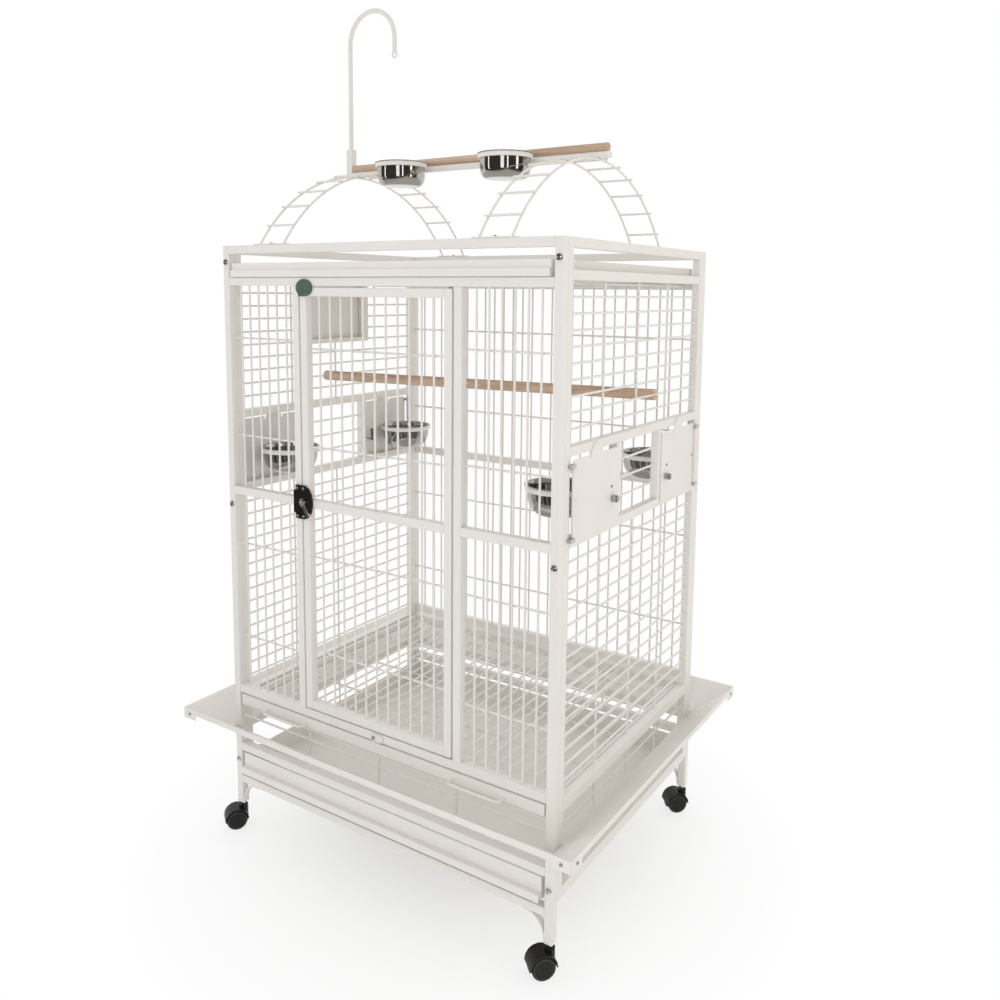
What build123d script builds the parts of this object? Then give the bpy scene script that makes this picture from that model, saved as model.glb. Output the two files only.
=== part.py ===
from build123d import *
from math import acos, cos, degrees, radians, sin
import os

# Bird cage on a wheeled stand with a play top. Millimetres, +Z up, the front with
# the main door faces -Y, +X is on the right of someone who faces the door, and the
# origin is on the floor under the middle of the cage.

# Overall sizes
cage_width = 914.0  # outside the posts, left to right
cage_depth = 711.0  # outside the posts, front to back
tube = 19.0  # square tube of the frames
wire = 5.0  # bars, supports and guards, across their flats
bar_pitch = 31.5  # aimed at between bars, and shared out evenly
sheet = 1.5  # folded sheet metal
weld = 0.05  # left at welded joints, so that each piece stays a solid of its own
play = 0.5  # between pieces that move past each other
running = 0.05  # radial, between a pin and its hole
set_in = 2.0  # trays, grate and braces, from the faces beside them
pin_sides = 12  # of pins and hubs
rod_sides = 8  # of thin rods
round_sides = 20  # of cups, rings and wheels, even so that flats lie opposite

# Heights, from the floor up
leg_foot = 65.0  # lower end of the legs, on the casters
leg_free = 57.0  # leg below the lower base rail
tray_height = 49.0
tray_under = 12.0  # between the lower base rail and the tray
tray_over = 5.0  # between the tray and the upper base rail
skirt_over = 39.0  # from the upper base rail to the inner edge of the skirts
skirt_rise = 61.0
skirt_reach = 86.0
skirt_lip = 13.0
skirt_flange = 20.0
skirt_tab = (42.0, 26.0)  # length and depth of the lip's ends
grate_over = 4.0  # from the skirts' lip to the grate
grate_height = 25.0
panel_over = 5.0  # from the grate to the lower rail of the front
mid_rail = 860.0
band_rail = 863.0  # lower rail of the feeder band in the sides
band_open = 159.0
second_rail = 1357.0
side_second_rail = 1371.0
frame_top = 1449.0

# Base and trays
brace_radius = 46.0
brace_foot = 8.0
brace_strip = 3.0
base_side_drop = 4.0  # lower rail of the sides, below the tray's floor
base_side_height = 24.0
guard_gap = 2.0
tray_side = 8.0  # between the trays and the posts
tray_pull = 12.0
top_tray_pull = 5.0
top_tray_height = 32.0
grate_rail = 15.0
grate_edge = 10.0
grate_side = 4.0  # between the grate and the posts
grate_bar_drop = 7.0  # of the bars below the grate's top
handle_x = 275.0
handle_half = 65.0
handle_out = 22.0

# Main door
door_width = 416.0
door_gap = 4.5
door_rise = 3.5  # between the door and the rails above and below it
pad = 0.6  # under the badge and the latch plate
door_pin = 8.0
door_pin_depth = 12.0
support_heights = (0.26, 0.745)  # of the lower and upper fields of bars
latch_thick = 5.0
latch_z = 871.5
latch_in = 8.3  # of the plate's middle, from the jamb's edge
latch_edge = ((-22.0, 38.5), (6.0, 38.5), (18.0, 32.0), (25.5, 20.0), (28.0, 6.0))  # upper half
latch_ear = (-28.0, 26.0)  # corner of the wider part between the two ears
pivot_in = 12.0  # of the lever's pivot, from the jamb's edge
latch_pad = 20.0
latch_hub = 5.0
latch_hub_height = 6.0
lever_wall = 5.0
lever_outline = ((3.8, 2.4), (23.8, -29.6), (16.2, -34.4), (-3.8, -2.4))  # about its pivot
tab_length = 34.0
tab_width = 18.0
badge_radius = 19.0
badge_sides = 36
badge_place = (-192.0, 1353.0)

# Feeder doors and cups
feeder_post = 99.0  # inner edge of the band's uprights
feeder_lap = 6.0
hinge_out = 5.0  # hinge line in front of the frame's face
hinge_in = 6.5  # hinge line inside the opening's edge
hinge_pin = 4.0
knuckle = 7.0
knuckle_gap = 1.0
lug_height = 8.0
lug_in = 6.0  # of the lugs, from the plate's upper and lower edges
lug_wrap = 3.0
lug_seat = 8.0
plate_drop = 11.0
plate_short = 7.0
plate_tab = 24.0
plate_slot = 4.0
knob_in = 26.0
knob_height = 58.0
knob_radius = 8.0
knob_length = 13.0
spindle = 6.0
cam_half = 4.0
cam_reach = 30.0
cup_radius = 66.0
cup_depth = 62.0
cup_foot = 54.0
cup_collar = 16.0
rim = 6.0
ring_height = 10.0
ring_wall = 3.0
bracket_half = 12.0
cup_from_hinge = 86.0
ring_up = 82.0  # from the plate's lower edge to the ring

# Nest door in the left side
nest_half = 110.0
nest_low = 1221.0
nest_rail = 12.0
nest_lap = 3.0

# Perches
cage_perch = 25.0
perch_skew = 57.0  # half of the offset between its ends
perch_shift = 30.0
perch_row = 2
perch_spare = 1.1  # length cut back to the bars, as a share of the span

# Play top
arch_in = 154.5  # of the arch's middle, from the cage's side
arch_half = 37.5
arch_rise = 185.5
arch_rungs = 12
rung_over = 5.0
rung_end = 0.8  # steps from the last rung to the foot
foot_over = 11.0
foot_thick = 2.5
beam_over = 64.5  # beyond the arch's middle
beam_height = 12.0
play_perch = 20.0
play_perch_short = 4.0
perch_flat = 0.5
play_cup_radius = 57.0
play_cup_depth = 55.0
play_cup_foot = 46.0
play_cup_x = 148.0
socket = 18.0
socket_height = 72.0
hook_rod = 12.0
hook_radius = 73.0
hook_straight = 519.0  # top of the straight rod above the frame
hook_end = 37.0  # straight end below the bend
hook_bends = 18
eye_radius = 9.0
eye_hole = 4.8
eye_drop = 4.0

# Casters
wheel_radius = 25.0
wheel_width = 14.0
web_half = 6.0
caster_trail = 18.0
axle = 6.0
hood_wall = 2.5
hood_gap = 1.5
hood_sides = 16
hood_top = 57.0
stem = 11.0

# Sizes that follow
half_w = cage_width / 2
half_d = cage_depth / 2
inner_w = half_w - tube
inner_d = half_d - tube
side_d = inner_d - tube
low_rail = leg_foot + leg_free
tray_z = low_rail + tube + tray_under
upper_rail = tray_z + tray_height + tray_over
skirt_z = upper_rail + tube + skirt_over
grate_z = skirt_z + skirt_rise + grate_over
panel_rail = grate_z + grate_height + panel_over
panel_z = panel_rail + tube
top_rail = frame_top - tube
band_z = band_rail + tube
band_top = band_z + band_open
jamb = door_width / 2 + door_gap
bar_y = half_d - tube / 2
bar_x = half_w - tube / 2
behind = wire + weld
tray_half = inner_w - tray_side
handle_z = grate_z + grate_height / 3
tab_z = panel_rail + tube / 2
latch_pivot = (-jamb + pivot_in, latch_z)
arch_x = half_w - arch_in
beam_half = arch_x + beam_over
play_perch_half = beam_half - play_perch_short

os.makedirs("parts", exist_ok=True)


def save(piece, name):
    """Label a finished sub-part and write its STEP file."""
    piece.part.label = name
    export_step(piece.part, f"parts/{name}.step")


def block(x, y, z, mode=Mode.ADD):
    """Add a block to the part being built, from its limits along each axis."""
    with Locations((sum(x) / 2, sum(y) / 2, sum(z) / 2)):
        Box(abs(x[1] - x[0]), abs(y[1] - y[0]), abs(z[1] - z[0]), mode=mode)


def rods(plane, places, length, flats_along_y=True):
    """Six-sided rods that stand on a plane at the given places, flats towards its Y or its X."""
    with BuildSketch(plane) as ends:
        with Locations(*places):
            RegularPolygon(wire / 2, 6, major_radius=False, rotation=0 if flats_along_y else 30)
    extrude(ends.sketch, amount=length)


def spaced(low, high, pitch):
    """Even places between two limits, about a pitch apart, without the limits."""
    count = max(1, round((high - low) / pitch) - 1)
    return [low + (high - low) * (i + 1) / (count + 1) for i in range(count)]


def between(low, high, shares):
    """Places at shares of the way between two limits."""
    return [low + (high - low) * share for share in shares]


# Front and back frames: two posts that run on as legs, and the rails between them


def end_rails(face):
    """Posts and full-width rails of the front (face -1) or back (face 1) frame."""
    y = (face * half_d, face * inner_d)
    for side in (-1, 1):
        block((side * half_w, side * inner_w), y, (leg_foot, frame_top))
    for z in (low_rail, upper_rail, panel_rail, second_rail, top_rail):
        block((weld - inner_w, inner_w - weld), y, (z, z + tube))


with BuildPart() as front_frame:
    end_rails(-1)
    for side in (-1, 1):
        block((side * jamb, side * (jamb + tube)), (-half_d, -inner_d), (panel_z + weld, second_rail - weld))
        block(
            (side * (jamb + tube + weld), side * (inner_w - weld)),
            (-half_d, -inner_d),
            (mid_rail, mid_rail + tube),
        )
save(front_frame, "front_frame")

with BuildPart() as back_frame:
    end_rails(1)
    block((weld - inner_w, inner_w - weld), (half_d, inner_d), (mid_rail, mid_rail + tube))
save(back_frame, "back_frame")

# Bars of the front and back: uprights in two fields, with level supports behind them
fields = ((panel_z, mid_rail), (mid_rail + tube, second_rail))


def upright_field(face, low_x, high_x, low_z, high_z):
    """One field of upright bars between two rails, and its supports on the inner side."""
    columns = [(x, face * bar_y) for x in spaced(low_x, high_x, bar_pitch)]
    rods(Plane.XY.offset(low_z + weld), columns, high_z - low_z - 2 * weld)
    rows = [(face * (bar_y - behind), z) for z in between(low_z, high_z, support_heights)]
    rods(Plane.YZ.offset(low_x + weld), rows, high_x - low_x - 2 * weld, flats_along_y=False)


with BuildPart() as front_bars:
    for low_z, high_z in fields:
        upright_field(-1, -inner_w, -jamb - tube, low_z, high_z)
        upright_field(-1, jamb + tube, inner_w, low_z, high_z)
save(front_bars, "front_bars")

with BuildPart() as back_bars:
    for low_z, high_z in fields:
        upright_field(1, -inner_w, inner_w, low_z, high_z)
save(back_bars, "back_bars")

# Side frames fit between the front and back posts, with a band for the feeder doors
side_rails = (
    (tray_z - base_side_drop, tray_z - base_side_drop + base_side_height),
    (grate_z, grate_z + grate_height),
    (band_rail, band_z),
    (band_top, band_top + tube),
    (side_second_rail, side_second_rail + tube),
    (top_rail, frame_top),
)
nest_sill = nest_low - nest_rail
nest_post = nest_half + tube


def side_frame(side):
    """Posts, rails and the feeder band's uprights of one side."""
    x = (side * half_w, side * inner_w)
    for end in (-1, 1):
        block(x, (end * (inner_d - weld), end * side_d), (side_rails[0][0], frame_top))
        block(x, (end * feeder_post, end * (feeder_post + tube)), (band_z + weld, band_top - weld))
    for z in side_rails:
        block(x, (weld - side_d, side_d - weld), z)


with BuildPart() as right_frame:
    side_frame(1)
save(right_frame, "right_frame")

with BuildPart() as left_frame:
    side_frame(-1)
    for end in (-1, 1):
        block(
            (-half_w, -inner_w),
            (end * nest_half, end * nest_post),
            (nest_sill, side_second_rail - weld),
        )
    block((-half_w, -inner_w), (weld - nest_half, nest_half - weld), (nest_sill, nest_low))
save(left_frame, "left_frame")

# Bars of the sides: level bars, with three upright supports on the inner side
lower_rows = spaced(grate_z + grate_height, band_rail, bar_pitch)
upper_rows = spaced(band_top + tube, side_second_rail, bar_pitch)
window_rows = between(band_z, band_top, (0.25, 0.5, 0.75))
support_y = (-side_d / 2, 0.0, side_d / 2)


def level_bars(side, rows, low_y, high_y):
    """Level bars of a side at the given heights, between two limits along Y."""
    places = [(-side * bar_x, z) for z in rows]
    start = Plane(origin=(0, low_y + weld, 0), x_dir=(-1, 0, 0), z_dir=(0, 1, 0))
    rods(start, places, high_y - low_y - 2 * weld, flats_along_y=False)


def side_supports(side, columns, low_z, high_z):
    """Upright supports of a side, on the inner side of the level bars."""
    places = [(side * (bar_x - behind), y) for y in columns]
    rods(Plane.XY.offset(low_z + weld), places, high_z - low_z - 2 * weld, flats_along_y=False)


with BuildPart() as right_bars:
    level_bars(1, lower_rows + upper_rows, -side_d, side_d)
    level_bars(1, window_rows, -feeder_post, feeder_post)
    side_supports(1, support_y, grate_z + grate_height, band_rail)
    side_supports(1, support_y, band_top + tube, side_second_rail)
save(right_bars, "right_bars")

nest_rows = [z for z in upper_rows if z > nest_sill]
below_nest = [z for z in upper_rows if z < nest_sill]

with BuildPart() as left_bars:
    level_bars(-1, lower_rows + below_nest, -side_d, side_d)
    level_bars(-1, nest_rows, -side_d, -nest_post)
    level_bars(-1, nest_rows, nest_post, side_d)
    level_bars(-1, window_rows, -feeder_post, feeder_post)
    side_supports(-1, support_y, grate_z + grate_height, band_rail)
    side_supports(-1, (support_y[0], support_y[2]), band_top + tube, side_second_rail)
    side_supports(-1, (support_y[1],), band_top + tube, nest_sill)
save(left_bars, "left_bars")

# Guard wires close the gap between the grate and the base
guard_low = skirt_z + skirt_rise / 2 + guard_gap
guard_high = grate_z - wire - guard_gap


def end_guard(face):
    """Two level wires across one end, with three uprights behind them."""
    rows = [(face * bar_y, z) for z in (guard_low, guard_high)]
    rods(Plane.YZ.offset(weld - inner_w), rows, 2 * (inner_w - weld), flats_along_y=False)
    columns = [(x, face * (bar_y - behind)) for x in (-jamb, 0.0, jamb)]
    foot = upper_rail + tube + weld
    rods(Plane.XY.offset(foot), columns, guard_high + wire / 2 - foot)


with BuildPart() as guard_wires:
    end_guard(-1)
    end_guard(1)
    for side in (-1, 1):
        level_bars(side, (guard_low,), -side_d, side_d)
        side_supports(side, support_y, side_rails[0][1], grate_z)
save(guard_wires, "guard_wires")

# Roof grille under the top tray
roof_z = second_rail + tube / 2
with BuildPart() as roof_bars:
    columns = [(-x, roof_z) for x in spaced(-inner_w, inner_w, bar_pitch)]
    start = Plane(origin=(0, weld - inner_d, 0), x_dir=(-1, 0, 0), z_dir=(0, 1, 0))
    rods(start, columns, 2 * (inner_d - weld))
    rows = [(y, roof_z - behind) for y in (support_y[0], support_y[2])]
    rods(Plane.YZ.offset(weld - inner_w), rows, 2 * (inner_w - weld))
save(roof_bars, "roof_bars")

# Curved braces between the legs and the lower base rails
with BuildPart() as leg_braces:
    reach = brace_radius + brace_foot
    leg = inner_w - weld
    rail = low_rail - weld
    with BuildSketch(Plane.XZ.offset(half_d - set_in)):
        with BuildLine():
            Line((leg, rail - reach), (leg, rail - brace_radius))
            CenterArc((leg - brace_radius, rail - brace_radius), brace_radius, 0, 90)
            Polyline(
                (leg - brace_radius, rail),
                (leg - reach, rail),
                (leg - reach, rail - brace_strip),
                (leg - brace_radius, rail - brace_strip),
            )
            CenterArc((leg - brace_radius, rail - brace_radius), brace_radius - brace_strip, 0, 90)
            Polyline(
                (leg - brace_strip, rail - brace_radius),
                (leg - brace_strip, rail - reach),
                (leg, rail - reach),
            )
        make_face()
    extrude(amount=2 * set_in - tube)
    mirror(about=Plane.YZ)
    mirror(about=Plane.XZ)
save(leg_braces, "leg_braces")

# Seed skirts: sloped trays round the base, mitred at the corners, with a lip and end tabs


def skirt(length, depth):
    """Skirt for a face of the given length whose middle is depth in front of the origin."""
    outer = length / 2 + skirt_reach
    with BuildPart() as piece:
        with BuildSketch(Plane.YZ.offset(-outer)):
            with BuildLine():
                Polyline(
                    (-depth, skirt_z - skirt_flange),
                    (-depth, skirt_z),
                    (-depth - skirt_reach, skirt_z + skirt_rise),
                    (-depth - skirt_reach, skirt_z + skirt_rise - skirt_lip),
                    (-depth - skirt_reach + sheet, skirt_z + skirt_rise - skirt_lip),
                    (-depth - skirt_reach + sheet, skirt_z + skirt_rise - 2 * sheet),
                    (-depth - sheet, skirt_z - 2 * sheet),
                    (-depth - sheet, skirt_z - skirt_flange),
                    close=True,
                )
            make_face()
        extrude(amount=2 * outer)
        for side in (-1, 1):
            block(
                (side * (outer - skirt_tab[0]), side * outer),
                (-depth - skirt_reach, sheet - depth - skirt_reach),
                (skirt_z + skirt_rise - skirt_tab[1], skirt_z + skirt_rise - sheet),
            )
        with BuildSketch(Plane.XY):
            with BuildLine():
                Polyline(
                    (-length / 2, -depth),
                    (length / 2, -depth),
                    (outer - weld, -depth - skirt_reach),
                    (weld - outer, -depth - skirt_reach),
                    close=True,
                )
            make_face()
        extrude(amount=frame_top, mode=Mode.INTERSECT)
    return piece.part


skirt_names = ("front", "right", "back", "left")
for quarter, name in enumerate(skirt_names):
    long_face = quarter % 2 == 0
    span, depth = (cage_width, half_d) if long_face else (cage_depth, half_w)
    with BuildPart() as skirt_piece:
        add(skirt(span, depth + weld), rotation=(0, 0, 90 * quarter))
    save(skirt_piece, f"skirt_{name}")

# Runners on the side rails carry the tray and the grate
with BuildPart() as tray_runners:
    for side in (-1, 1):
        for top in (tray_z - play, grate_z + 2 * sheet):
            block(
                (side * (inner_w - weld), side * (inner_w - tube)),
                (-side_d, side_d),
                (top - 2 * sheet, top),
            )
save(tray_runners, "tray_runners")

# Bottom tray: a shallow drawer with a folded finger pull


def drawer(z, height, pull, pull_height):
    """Open sheet tray between the posts, with a channel along its front to pull it by."""
    front, back = set_in - half_d, inner_d
    block((-tray_half, tray_half), (front, back), (z, z + height))
    inside = (front + sheet, back - sheet)
    block((sheet - tray_half, tray_half - sheet), inside, (z + sheet, z + height), mode=Mode.SUBTRACT)
    block((-tray_half, tray_half), (front - pull, front), (z, z + pull_height))
    hollow = (front - pull + sheet, front)
    block((-tray_half, tray_half), hollow, (z, z + pull_height - sheet), mode=Mode.SUBTRACT)


with BuildPart() as bottom_tray:
    drawer(tray_z, tray_height, tray_pull, tray_height / 3)
save(bottom_tray, "bottom_tray")

with BuildPart() as top_tray:
    drawer(second_rail + tube + play, top_tray_height, top_tray_pull, top_tray_height / 2)
save(top_tray, "top_tray")

# Sliding grate: a welded frame with bars that run front to back, and two wire handles
grate_half = inner_w - grate_side
grate_bar_z = grate_z + grate_height - grate_bar_drop
grate_front = (set_in - half_d, set_in - half_d + grate_rail)
grate_back = inner_d - set_in
with BuildPart() as grate_frame:
    block((-grate_half, grate_half), grate_front, (grate_z, grate_z + grate_height))
    low = grate_z + 2 * sheet + play
    high = grate_bar_z + wire / 2
    for side in (-1, 1):
        block(
            (side * grate_half, side * (grate_half - grate_edge)),
            (grate_front[1] + weld, grate_back),
            (low, high),
        )
    inside = grate_half - grate_edge - weld
    block((-inside, inside), (grate_back - grate_edge, grate_back), (low, high))
    for side in (-1, 1):
        legs = (side * (handle_x - handle_half), side * (handle_x + handle_half))
        bend = side * handle_out / 2
        with BuildLine() as handle_line:
            Polyline(
                (legs[0], grate_front[0] - weld, handle_z),
                (legs[0], grate_front[0] - handle_out / 2, handle_z),
                (legs[0] + bend, grate_front[0] - handle_out, handle_z),
                (legs[1] - bend, grate_front[0] - handle_out, handle_z),
                (legs[1], grate_front[0] - handle_out / 2, handle_z),
                (legs[1], grate_front[0] - weld, handle_z),
            )
        end = Plane(origin=handle_line.line @ 0, x_dir=(0, 0, 1), z_dir=(0, -1, 0))
        with BuildSketch(end) as handle_end:
            RegularPolygon(wire / 2, 6, major_radius=False)
        sweep(handle_end.sketch, path=handle_line.line, transition=Transition.RIGHT)
save(grate_frame, "grate_frame")

with BuildPart() as grate_bars:
    columns = [(-x, grate_bar_z) for x in spaced(-inside, inside, bar_pitch)]
    start = Plane(origin=(0, grate_front[1] + weld, 0), x_dir=(-1, 0, 0), z_dir=(0, 1, 0))
    rods(start, columns, grate_back - grate_edge - grate_front[1] - 2 * weld)
    rows = [(y, grate_bar_z - behind) for y in support_y]
    rods(Plane.YZ.offset(weld - inside), rows, 2 * (inside - weld))
save(grate_bars, "grate_bars")

# Main door: a frame with a rail at mid height, hung on two pins at its right edge
door_half = door_width / 2
door_low = panel_z + door_rise
door_high = second_rail - door_rise
door_y = (-half_d, -inner_d)
stile = door_half - tube
pin_x = door_half - tube / 2
with BuildPart() as door_frame:
    for side in (-1, 1):
        block((side * door_half, side * stile), door_y, (door_low, door_high))
    for z in (door_low, mid_rail, door_high - tube):
        block((weld - stile, stile - weld), door_y, (z, z + tube))
    for z in (door_low, door_high - door_pin_depth):
        with BuildSketch(Plane.XY.offset(z)):
            with Locations((pin_x, -bar_y)):
                RegularPolygon(door_pin / 2 + running, pin_sides, major_radius=False)
        extrude(amount=door_pin_depth, mode=Mode.SUBTRACT)
save(door_frame, "door_frame")

door_fields = ((door_low + tube, mid_rail), (mid_rail + tube, door_high - tube))
with BuildPart() as door_bars:
    for low_z, high_z in door_fields:
        upright_field(-1, -stile, stile, low_z, high_z)
save(door_bars, "door_bars")

# Bare disc at the door's upper left corner, held off the rail above it by a pad
with BuildPart() as door_badge:
    with BuildSketch(Plane.XZ.offset(half_d + pad)):
        with Locations(badge_place):
            RegularPolygon(badge_radius, badge_sides)
    extrude(amount=2 * sheet)
    block(
        (weld - door_half, -stile),
        (-half_d - weld, -half_d - pad),
        (door_high - tube, door_high - 2 * sheet),
    )
save(door_badge, "door_badge")

# Door latch: a plate on the stile that laps over the jamb, and its turning lever
latch_x = -jamb + latch_in
latch_front = half_d + pad + latch_thick
latch_half = [latch_ear, (latch_edge[0][0], latch_ear[1]), *latch_edge]
latch_round = latch_half + [(x, -z) for x, z in reversed(latch_half)]
with BuildPart() as latch_plate:
    with BuildSketch(Plane.XZ.offset(half_d + pad)):
        with BuildLine():
            Polyline([(latch_x + x, latch_z + z) for x, z in latch_round], close=True)
        make_face()
    extrude(amount=latch_thick)
    block(
        (weld - door_half, -stile),
        (-half_d - weld, -half_d - pad),
        (latch_z - latch_pad, latch_z + latch_pad),
    )
    with BuildSketch(Plane.XZ.offset(latch_front)):
        with Locations(latch_pivot):
            RegularPolygon(latch_hub, pin_sides)
    extrude(amount=latch_hub_height)
save(latch_plate, "latch_plate")

with BuildPart() as latch_lever:
    with BuildSketch(Plane.XZ.offset(latch_front + play)):
        with Locations(latch_pivot):
            RegularPolygon(latch_hub + lever_wall, round_sides)
        with BuildLine():
            Polyline([(latch_pivot[0] + x, latch_pivot[1] + z) for x, z in lever_outline], close=True)
        make_face()
        with Locations(latch_pivot):
            RegularPolygon(latch_hub + running, pin_sides, major_radius=False, mode=Mode.SUBTRACT)
    extrude(amount=latch_hub_height - play)
save(latch_lever, "latch_lever")

# Lock tab that turns down in front of the grate, stored level so that the grate is free
with BuildPart() as lock_tab:
    with BuildSketch(Plane.XZ.offset(half_d + play)):
        with Locations(((tab_length - tab_width) / 2, tab_z)):
            Rectangle(tab_length - tab_width, tab_width)
        with Locations((0, tab_z), (tab_length - tab_width, tab_z)):
            RegularPolygon(tab_width / 2, pin_sides, major_radius=False)
        with Locations((0, tab_z)):
            RegularPolygon(hinge_pin / 2 + running, rod_sides, major_radius=False, mode=Mode.SUBTRACT)
    extrude(amount=2 * sheet)
save(lock_tab, "lock_tab")

# Feeder doors: sheet plates that swing out on a pin beside the corner post
hinge_x = half_w + hinge_out
hinge_y = side_d - hinge_in
plate_x = half_w + play
plate_z = band_z - plate_drop
plate_top = band_top - plate_short
plate_edge = hinge_y - knuckle / 2 - knuckle_gap
plate_free = feeder_post + tube - feeder_lap
knob_y = plate_free + knob_in
knob_z = plate_z + knob_height
cup_x = plate_x - cup_radius - rim - 2 * sheet
cup_y = hinge_y - cup_from_hinge
ring_z = plate_z + ring_up
lug_z = (plate_z + lug_in, plate_top - lug_in - lug_height)
knuckle_z = (lug_z[0] + lug_height + play, lug_z[1] - play)


def ring(x, y, z, radius):
    """Flat band that a cup hangs in by its rim."""
    with BuildSketch(Plane.XY.offset(z)) as band:
        with Locations((x, y)):
            RegularPolygon(radius + play + ring_wall, round_sides, major_radius=False)
            RegularPolygon(radius + play, round_sides, major_radius=False, mode=Mode.SUBTRACT)
    extrude(band.sketch, amount=ring_height)


def bowl(radius, foot, low, high, mode=Mode.ADD):
    """Solid of a bowl's outside or inside: a short collar over a long taper to its foot."""
    with BuildPart(mode=Mode.PRIVATE) as form:
        with BuildSketch(Plane.XY.offset(low)):
            RegularPolygon(radius, round_sides, major_radius=False)
        extrude(amount=high - low)
        base = form.faces().sort_by(Axis.Z)[0]
        chamfer(base.edges(), radius - foot, high - low - cup_collar, reference=base)
    add(form.part, mode=mode)


def cup(x, y, rim_z, radius, foot, depth):
    """Bowl with a flat rim, from its rim's upper face down."""
    with BuildPart() as piece:
        bowl(radius, foot, rim_z - depth, rim_z)
        with BuildSketch(Plane.XY.offset(rim_z - sheet)):
            RegularPolygon(radius + rim, round_sides, major_radius=False)
        extrude(amount=sheet)
        bowl(radius - sheet, foot - sheet, rim_z - depth + sheet, rim_z, mode=Mode.SUBTRACT)
    return piece.part.moved(Location((x, y, 0)))


def feeder_door(side, end):
    """Plate with its hinge knuckle and tab, and the cup's ring on its inner face."""
    with BuildPart() as piece:
        with BuildSketch(Plane.YZ.offset(side * plate_x)) as outline:
            middle = end * (plate_edge + plate_free) / 2
            with Locations((middle, (plate_z + plate_top) / 2)):
                Rectangle(plate_edge - plate_free, plate_top - plate_z)
            with Locations((middle, plate_top)):
                RegularPolygon(plate_tab, round_sides)
            for beside in (-1, 1):
                with Locations((middle + beside * (plate_tab + plate_slot), plate_top)):
                    Rectangle(plate_slot, 2 * plate_tab / 3, mode=Mode.SUBTRACT)
            with Locations((end * (plate_edge + hinge_y) / 2, sum(knuckle_z) / 2)):
                Rectangle(hinge_y - plate_edge + play, knuckle_z[1] - knuckle_z[0])
            with Locations((end * knob_y, knob_z)):
                RegularPolygon(spindle / 2 + 4 * running, rod_sides, major_radius=False, mode=Mode.SUBTRACT)
        extrude(outline.sketch, amount=side * sheet)
        with BuildSketch(Plane.XY.offset(knuckle_z[0])) as eye:
            with Locations((side * hinge_x, end * hinge_y)):
                RegularPolygon(knuckle / 2, rod_sides, major_radius=False, rotation=180 / rod_sides)
        extrude(eye.sketch, amount=knuckle_z[1] - knuckle_z[0])
        with BuildSketch(Plane.XY.offset(knuckle_z[0])) as bore:
            with Locations((side * hinge_x, end * hinge_y)):
                RegularPolygon(hinge_pin / 2 + running, rod_sides, major_radius=False)
        extrude(bore.sketch, amount=knuckle_z[1] - knuckle_z[0], mode=Mode.SUBTRACT)
        ring(side * cup_x, end * cup_y, ring_z, cup_radius)
        block(
            (side * (cup_x + cup_radius + play + ring_wall - sheet), side * (plate_x - weld)),
            (end * cup_y - bracket_half, end * cup_y + bracket_half),
            (ring_z, ring_z + ring_height),
        )
    return piece


def feeder_knob(side, end):
    """Turning latch: a round knob outside, a spindle through the plate and a cam behind the upright."""
    with BuildPart() as piece:
        with BuildSketch(Plane.YZ.offset(side * (inner_w - play - 2 * sheet))) as round_bar:
            with Locations((end * knob_y, knob_z)):
                RegularPolygon(spindle / 2, rod_sides)
        extrude(round_bar.sketch, amount=side * (tube + 3 * play + 4 * sheet + spindle))
        with BuildSketch(Plane.YZ.offset(side * (plate_x + sheet + play))) as grip:
            with Locations((end * knob_y, knob_z)):
                RegularPolygon(knob_radius, pin_sides)
        extrude(grip.sketch, amount=side * knob_length)
        block(
            (side * (inner_w - play - 2 * sheet), side * (inner_w - play)),
            (end * knob_y - cam_half, end * knob_y + cam_half),
            (knob_z - cam_half, knob_z + cam_reach),
        )
    return piece


sides = {"left": -1, "right": 1}
ends = {"front": -1, "back": 1}
for side_name, side in sides.items():
    for end_name, end in ends.items():
        corner = f"{side_name}_{end_name}"
        save(feeder_door(side, end), f"feeder_door_{corner}")
        save(feeder_knob(side, end), f"feeder_knob_{corner}")
        with BuildPart() as feeder_cup:
            rim_z = ring_z + ring_height + play + sheet
            add(cup(side * cup_x, end * cup_y, rim_z, cup_radius, cup_foot, cup_depth))
        save(feeder_cup, f"feeder_cup_{corner}")

# Nest door on the left side, hinged at its back edge
nest_pin_y = nest_half + hinge_in
nest_door_z = (nest_sill + nest_lap, side_second_rail - play)
nest_lug = (nest_door_z[0] + lug_in, nest_door_z[1] - lug_in - lug_height)
nest_knuckle = (nest_lug[0] + lug_height + play, nest_lug[1] - play)
with BuildPart() as nest_door:
    free = -nest_half - feeder_lap
    block((-plate_x, -plate_x - sheet), (free, nest_pin_y - knuckle / 2 - knuckle_gap), nest_door_z)
    block((-plate_x, -plate_x - sheet), (nest_pin_y - knuckle, nest_pin_y), nest_knuckle)
    with BuildSketch(Plane.XY.offset(nest_knuckle[0])):
        with Locations((-hinge_x, nest_pin_y)):
            RegularPolygon(knuckle / 2, rod_sides, major_radius=False, rotation=180 / rod_sides)
    extrude(amount=nest_knuckle[1] - nest_knuckle[0])
    with BuildSketch(Plane.XY.offset(nest_knuckle[0])):
        with Locations((-hinge_x, nest_pin_y)):
            RegularPolygon(hinge_pin / 2 + running, rod_sides, major_radius=False)
    extrude(amount=nest_knuckle[1] - nest_knuckle[0], mode=Mode.SUBTRACT)
save(nest_door, "nest_door")

# Hinge pins: the main door's two, the feeder and nest doors' with their lugs, and the tab's screw


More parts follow.
